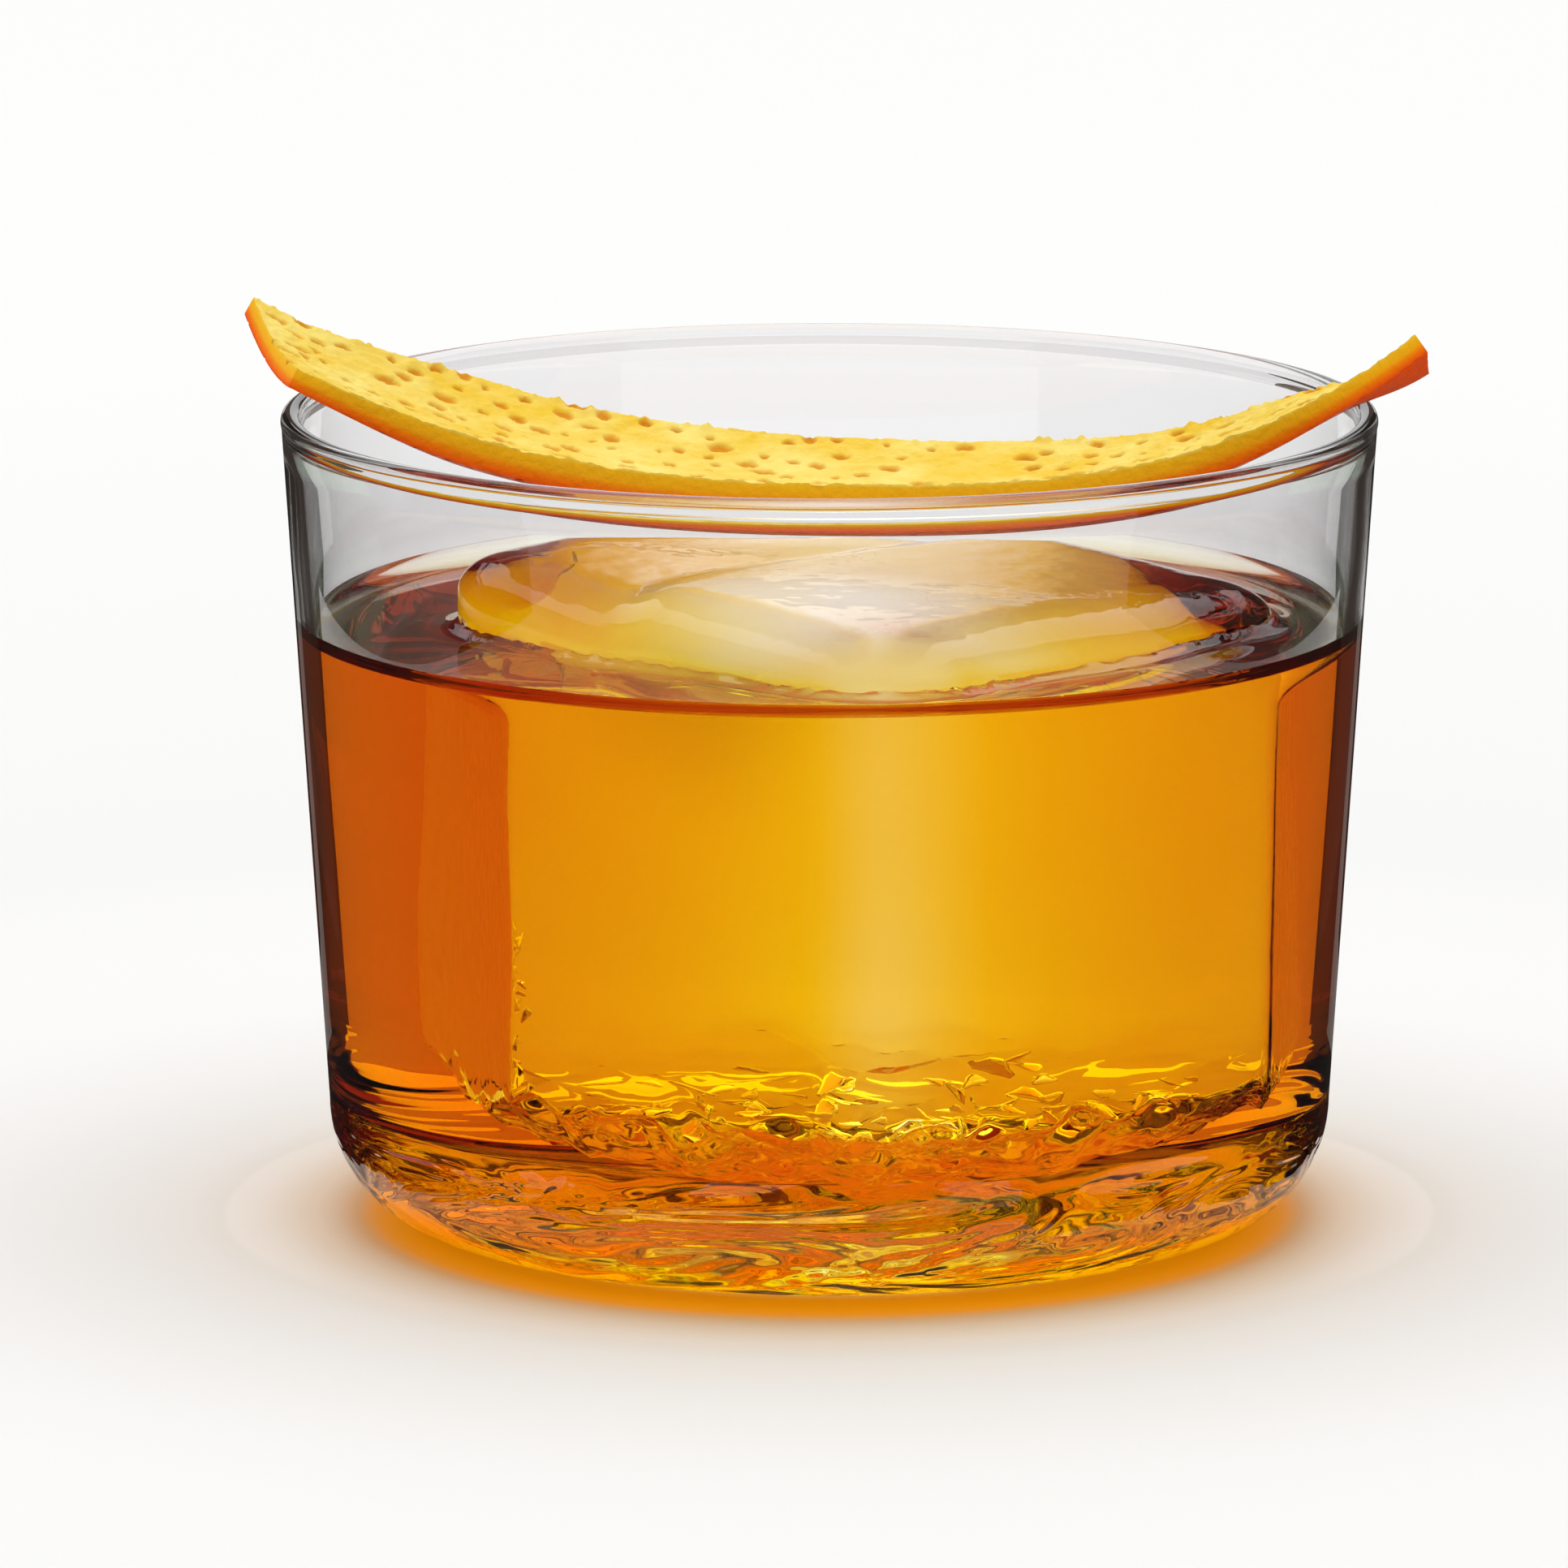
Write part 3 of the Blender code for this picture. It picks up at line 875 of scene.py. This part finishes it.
def makePeel():
    p, feel = peelShape, peelFeel
    cells, faces = boxSurfaceGrid(p["alongSteps"], p["acrossSteps"], p["depthSteps"])
    along, across, depth = (cells / (p["alongSteps"], p["acrossSteps"], p["depthSteps"])).T
    top = peelSurface(along, across)
    normal = peelNormal(along, across)
    points = top - normal * (peelThickness(top[:, 0]) * depth)[:, None]
    stripAlong, stripAcross = along * p["length"], across * p["width"]
    pits = scatterDimples("pit", feel["seed"], feel["leftHeavy"])
    pores = scatterDimples("pore", feel["seed"] + 1, 0)
    pit = np.where(depth == 0, dimpleDepth(stripAlong, stripAcross, pits), 0)
    pore = np.where(depth == 1, dimpleDepth(stripAlong, stripAcross, pores), 0)
    crumb = roughness(points, *feel["crumbScale"])
    coarse = roughness(points, *feel["edgeScale"])
    points -= normal * (pit * feel["pitDepth"])[:, None]
    points += normal * (np.where(depth == 0, crumb, 0) * feel["crumb"])[:, None]
    points += normal * (pore * feel["poreDepth"])[:, None]
    backEdge = blendStep(across, feel["edgeFrom"], 1.0) * (1 - depth)
    points[:, 2] += backEdge * np.abs(crumb) * feel["edgeCrumb"]
    points[:, 1] += backEdge * coarse * feel["edgeCrumb"]
    peel = addPiece("orangePeelStrip", points, faces)
    peel.data.set_sharp_from_angle(angle=p["sharpAngle"])
    for name, values in (("depth", depth), ("pit", pit)):
        attribute = peel.data.attributes.new(name, "FLOAT", "POINT")
        attribute.data.foreach_set("value", np.asarray(values, dtype=np.float32))
    peel.data.materials.append(makePeelSkin())
    peel.visible_glossy = False       # its mirror image would darken the top of the ice
    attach(peel, "root")
    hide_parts("orange_peel")
    print("peel cut,", len(peel.data.polygons), "faces")


peelColor = {                     # screen colours
    "pith": ((0.3, (227, 186, 42)), (0.7, (233, 211, 110))),
    "pit": ((0.05, (255, 255, 255)), (0.8, (232, 178, 80))),
    "layers": (                   # from the pith side down to the zest
        (0.0, (240, 186, 24)),
        (0.45, (240, 166, 12)),
        (0.65, (240, 128, 0)),
        (0.85, (238, 100, 0)),
        (1.0, (228, 76, 0)),
    ),
    "pithDepth": 0.1,
    "zestFrom": 0.85,
    "roughness": (0.62, 0.3),     # of the pith and the zest
}


def makePeelSkin():
    material, nodes, links, shader = newMaterial("orangePeelSkin")
    depth = addNode(nodes, "ShaderNodeAttribute", attribute_name="depth").outputs["Fac"]
    pit = addNode(nodes, "ShaderNodeAttribute", attribute_name="pit").outputs["Fac"]
    place = addNode(nodes, "ShaderNodeTexCoord").outputs["Object"]
    patches = addNode(nodes, "ShaderNodeTexNoise", Scale=210.0, Detail=5.0)
    grain = addNode(nodes, "ShaderNodeTexNoise", Scale=1500.0, Detail=3.0)
    links.new(place, patches.inputs["Vector"])
    links.new(place, grain.inputs["Vector"])
    shades = {}
    for key, factor in (("pith", patches.outputs["Fac"]), ("pit", pit), ("layers", depth)):
        ramp = colorRamp(nodes, [(stop, shadeOf(*color)) for stop, color in peelColor[key]])
        links.new(factor, ramp.inputs["Fac"])
        shades[key] = ramp.outputs["Color"]
    dimpled = mixColors(nodes, links, None, shades["pith"], shades["pit"], "MULTIPLY")
    below = mapRange(nodes, depth, 0.0, peelColor["pithDepth"])
    skin = mixColors(nodes, links, below, dimpled, shades["layers"])
    links.new(skin, shader.inputs["Base Color"])
    gloss = mapRange(nodes, depth, peelColor["zestFrom"], 1.0, *peelColor["roughness"])
    links.new(gloss, shader.inputs["Roughness"])
    shader.inputs["Specular IOR Level"].default_value = 0.08
    shader.inputs["Subsurface Weight"].default_value = 0.12
    shader.inputs["Subsurface Radius"].default_value = (1.0, 0.45, 0.1)
    shader.inputs["Subsurface Scale"].default_value = 0.8 * mm
    bump = addNode(nodes, "ShaderNodeBump", Strength=0.6, Distance=0.3 * mm)
    links.new(grain.outputs["Fac"], bump.inputs["Height"])
    links.new(bump.outputs["Normal"], shader.inputs["Normal"])
    return material


studio = {                        # the cards, the dark ring and the screens are given in mm
    "tableHalf": 5.0,
    "tableDrop": 0.2 * mm,
    "glowReach": 400,             # mm
    "glowSquash": (1, 0.95, 0),   # the glow on the table runs a little further out in front and behind
    "tablePaintedGlowAndShadow": (                # painted light and shadow: colour of the table by distance in mm from the middle of the glass
        (28, (0.90, 0.89, 0.88)),
        (29, (0.95, 0.34, 0.004)),
        (33.4, (0.93, 0.34, 0.004)),
        (34.8, (0.72, 0.31, 0.045)),
        (35.6, (0.72, 0.42, 0.17)),
        (36.6, (0.77, 0.53, 0.32)),
        (38.8, (0.81, 0.65, 0.48)),
        (42.8, (0.85, 0.77, 0.68)),
        (48.5, (0.87, 0.84, 0.79)),
        (57, (0.85, 0.835, 0.815)),
        (80, (0.85, 0.845, 0.835)),
        (140, (0.79, 0.788, 0.784)),
        (400, (0.83, 0.83, 0.825)),
    ),
    "underPaintedGlow": (                # painted light: what the table under the glass gives off, by the same distance
        (0, (1.0, 0.52, 0.10)),
        (26, (1.0, 0.45, 0.05)),
        (30, (0.8, 0.30, 0)),
        (34.5, (0.6, 0.20, 0)),
        (36.5, (0, 0, 0)),
    ),
    "underStrength": 0.45,
    "roof": 1.58,                 # brightness overhead
    "glowByHeight": ((0.0, 0.50), (0.08, 0.40), (0.17, 0.15), (0.23, 0.14), (0.40, 1.0)),  # sine of height
    "backdrop": 0.95,             # brightness of the backdrop straight behind the glass
    "backdropEdge": (0.45, 0.75),
    "front": 0.75,                # how bright the front half is against the back
    "frontEdge": (-0.6, 0.2),
    "cards": (                    # painted shade and reflection, dark sheets seen only in the glass and the drink; at each side: x, y from and to, z from and to; shade; most surfaces passed
        ("Near", (88, -60, 60, 30, 66), (0.02, 0.018, 0.016), 99),
        ("Above", (88, -60, 60, 66, 170), (0.14, 0.10, 0.08), 4),
        ("Back", (88, 60, 250, 0, 110), (0.045, 0.036, 0.03), 4),
        ("Far", (88, 250, 700, 62, 190), (0.14, 0.10, 0.08), 4),
        ("Edge", (60, 54, 92, 0, 36), (0.17, 0.16, 0.15), 99),
    ),
    "edgePatch": ((20, 50), (60, 50), (60, 92), (20, 60)),    # painted shade seen only through the glass: x and y, just above the table
    "patchHeight": 0.4,
    "patchShade": (0.17, 0.16, 0.15),
    "darkRingRadii": (46, 900),
    "darkRingHeight": 0.3,
    "darkRingSheets": 48,
    "darkRingShade": (0.02, 0.018, 0.016),
    "glowCard": (500, 350, 5, 300),       # half width, y, z from and to
    "glowShade": (2.1, 3.3, 2.0),
    "glowSurfaces": (5, 99),      # fewest and most surfaces that the light has passed
    "screenHalf": 110,
    "screenDeepest": 4,           # most surfaces passed
    "screens": (                  # y and z of the lower and the upper edge, fewest surfaces passed
        ("lowScreen", (400, 60), (400, 170), 3),
        ("highScreen", (400, 170), (400, 330), 2),
        ("roofScreen", (400, 330), (-60, 330), 2),
    ),
    "screenPaintedReflection": (             # painted reflection colours, by x
        (-60, (0.35, 0.22, 0.16)),
        (-42, (0.50, 0.36, 0.30)),
        (-33, (0.50, 0.32, 0.20)),
        (-28, (0.90, 0.48, 0.0)),
        (-18, (1.0, 0.56, 0.03)),
        (-9, (1.5, 1.25, 0.75)),
        (0, (2.1, 2.05, 1.8)),
        (12, (1.8, 1.7, 1.45)),
        (24, (1.6, 1.45, 1.2)),
        (34, (1.2, 0.85, 0.4)),
        (42, (0.45, 0.26, 0.12)),
        (60, (0.15, 0.07, 0.05)),
    ),
}


def makeTable():
    half = studio["tableHalf"]
    low = -studio["tableDrop"]
    corners = [(-half, -half, low), (half, -half, low), (half, half, low), (-half, half, low)]
    table = addPiece("paleTable", corners, [(0, 1, 2, 3)], smooth=False)
    material, nodes, links, shader = newMaterial("paleTableTop")
    # painted light and shadow: warm light that comes through the drink onto the table round the foot, painted
    # into its colour and given off by it
    place = nodes.new("ShaderNodeNewGeometry")
    flat = addNode(nodes, "ShaderNodeVectorMath", operation="MULTIPLY")
    flat.inputs[1].default_value = studio["glowSquash"]
    away = addNode(nodes, "ShaderNodeVectorMath", operation="LENGTH")
    links.new(place.outputs["Position"], flat.inputs[0])
    links.new(flat.outputs["Vector"], away.inputs[0])
    reach = studio["glowReach"]
    along = mapRange(nodes, away.outputs["Value"], 0, reach * mm)
    for stops, socket in (("tablePaintedGlowAndShadow", "Base Color"), ("underPaintedGlow", "Emission Color")):
        ramp = colorRamp(nodes, [(radius / reach, color) for radius, color in studio[stops]])
        links.new(along, ramp.inputs["Fac"])
        links.new(ramp.outputs["Color"], shader.inputs[socket])
    shader.inputs["Emission Strength"].default_value = studio["underStrength"]
    shader.inputs["Roughness"].default_value = 0.6
    shader.inputs["Specular IOR Level"].default_value = 0.2
    table.data.materials.append(material)
    print("table laid")


def makeSky():
    # a big soft roof that is brighter behind the glass, over dim walls
    world = bpy.data.worlds.new("softRoom")
    bpy.context.scene.world = world
    world.use_nodes = True
    nodes, links = world.node_tree.nodes, world.node_tree.links

    def combine(operation, first, second):
        node = addNode(nodes, "ShaderNodeMath", operation=operation)
        for socket, value in zip(node.inputs, (first, second)):
            if isinstance(value, float):
                socket.default_value = value
            else:
                links.new(value, socket)
        return node.outputs["Value"]

    look = nodes.new("ShaderNodeTexCoord")
    axes = nodes.new("ShaderNodeSeparateXYZ")
    links.new(look.outputs["Generated"], axes.inputs["Vector"])
    heights = colorRamp(nodes, [(height, (glow,) * 3) for height, glow in studio["glowByHeight"]])
    links.new(axes.outputs["Z"], heights.inputs["Fac"])
    roof = combine("MULTIPLY", heights.outputs["Color"], studio["roof"])
    behind = mapRange(nodes, axes.outputs["Y"], *studio["backdropEdge"], ease="SMOOTHSTEP")
    brighter = combine("MAXIMUM", roof, combine("MULTIPLY", behind, studio["backdrop"]))
    back = mapRange(nodes, axes.outputs["Y"], *studio["frontEdge"], studio["front"], 1.0, "SMOOTHSTEP")
    background = nodes["Background"]
    links.new(combine("MULTIPLY", brighter, back), background.inputs["Strength"])
    background.inputs["Color"].default_value = (1, 1, 1, 1)
    print("room made")


def makeCard(name, sheets, shade, fewest=None, most=None):
    # flat glowing sheets of four corners in mm, which show in the glass and the drink alone: painted light,
    # shade and reflection
    corners = [(x * mm, y * mm, z * mm) for sheet in sheets for x, y, z in sheet]
    faces = [tuple(range(i, i + 4)) for i in range(0, len(corners), 4)]
    card = addPiece(name, corners, faces, smooth=False)
    material, nodes, links, shader = newMaterial(name)
    glow = nodes.new("ShaderNodeEmission")
    glow.inputs["Color"].default_value = (*shade, 1)
    links.new(glow.outputs["Emission"], nodes["Material Output"].inputs["Surface"])
    nodes.remove(shader)
    card.data.materials.append(material)
    card.visible_camera = False
    card.visible_diffuse = False
    card.visible_shadow = False
    if most is not None:
        showOnly(nodes, links, fewest, most)
    return card


def showOnly(nodes, links, fewest, most):
    # the card shows only to light that has gone through this many surfaces
    path = nodes.new("ShaderNodeLightPath")
    middle = addNode(nodes, "ShaderNodeMath", operation="COMPARE")
    middle.inputs[1].default_value = (fewest + most) / 2
    middle.inputs[2].default_value = (most - fewest) / 2 + 0.1      # and a little over, for rounding
    clear = nodes.new("ShaderNodeBsdfTransparent")
    mix = nodes.new("ShaderNodeMixShader")
    links.new(path.outputs["Transmission Depth"], middle.inputs[0])
    links.new(middle.outputs["Value"], mix.inputs["Fac"])
    links.new(clear.outputs["BSDF"], mix.inputs[1])
    links.new(nodes["Emission"].outputs["Emission"], mix.inputs[2])
    links.new(mix.outputs["Shader"], nodes["Material Output"].inputs["Surface"])


def makeSideCards():
    # painted shade: dark sheets at both sides and a dark patch on the table, seen only in the glass and the
    # drink
    for sideName, side in (("left", -1), ("right", 1)):
        for name, (x, near, far, low, high), shade, deepest in studio["cards"]:
            sheet = [(side * x, y, z) for y, z in ((near, low), (far, low), (far, high), (near, high))]
            makeCard(sideName + name + "Card", [sheet], shade, 0, deepest)
        patch = [(side * x, y, studio["patchHeight"]) for x, y in studio["edgePatch"]]
        makeCard(sideName + "PatchCard", [patch], studio["patchShade"])
    print("side cards hung")


def makeDarkReflectionRing():
    # painted reflection: a dark ring round the glass, seen only as a reflection on the outside of the glass
    inner, outer = studio["darkRingRadii"]
    turn, height = 2 * math.pi / studio["darkRingSheets"], studio["darkRingHeight"]
    ring = []
    for i in range(studio["darkRingSheets"]):
        corners = ((inner, i), (outer, i), (outer, i + 1), (inner, i + 1))
        ring.append([(r * math.cos(k * turn), r * math.sin(k * turn), height) for r, k in corners])
    darkRing = makeCard("darkReflectionRing", ring, studio["darkRingShade"], 0, 0)
    darkRing.visible_transmission = False
    print("cloth laid")


def makeGlowCard():
    # painted light: a glowing sheet, seen only after five or more surfaces, lights the foot of the drink,
    # where its floor mirrors what is behind the glass
    half, y, low, high = studio["glowCard"]
    sheet = [(-half, y, low), (half, y, low), (half, y, high), (-half, y, high)]
    makeCard("glowCard", [sheet], studio["glowShade"], *studio["glowSurfaces"])
    print("glow card hung")


def makeScreens():
    # painted reflection: glowing screens seen only through the glass, which the top of the ice mirrors: warm
    # at the sides and bright in the middle
    half = studio["screenHalf"]
    for name, lower, upper, fewest in studio["screens"]:
        sheet = [(-half, *lower), (half, *lower), (half, *upper), (-half, *upper)]
        screen = makeCard(name, [sheet], (1, 1, 1), fewest, studio["screenDeepest"])
        tree = screen.data.materials[0].node_tree
        axes = objectAxes(tree.nodes, tree.links)[1]
        shades = colorRamp(tree.nodes, rampAcross(studio["screenPaintedReflection"], half))
        tree.links.new(mapRange(tree.nodes, axes["X"], -half * mm, half * mm), shades.inputs["Fac"])
        tree.links.new(shades.outputs["Color"], tree.nodes["Emission"].inputs["Color"])
    print("screens hung")


def setLook():
    scene = bpy.context.scene
    scene.view_settings.view_transform = "Standard"
    scene.view_settings.look = "None"
    scene.cycles.max_bounces = 40
    scene.cycles.transmission_bounces = 36
    scene.cycles.glossy_bounces = 8
    scene.cycles.diffuse_bounces = 4
    scene.cycles.transparent_max_bounces = 16
    scene.cycles.caustics_refractive = True
    scene.cycles.caustics_reflective = True


placeCamera()
makeTable()
makeSky()
makeSideCards()
makeDarkReflectionRing()
makeGlowCard()
makeScreens()
setLook()
makeTumbler()
makeDrink(makeIce())
makeFlaws()
makePeel()
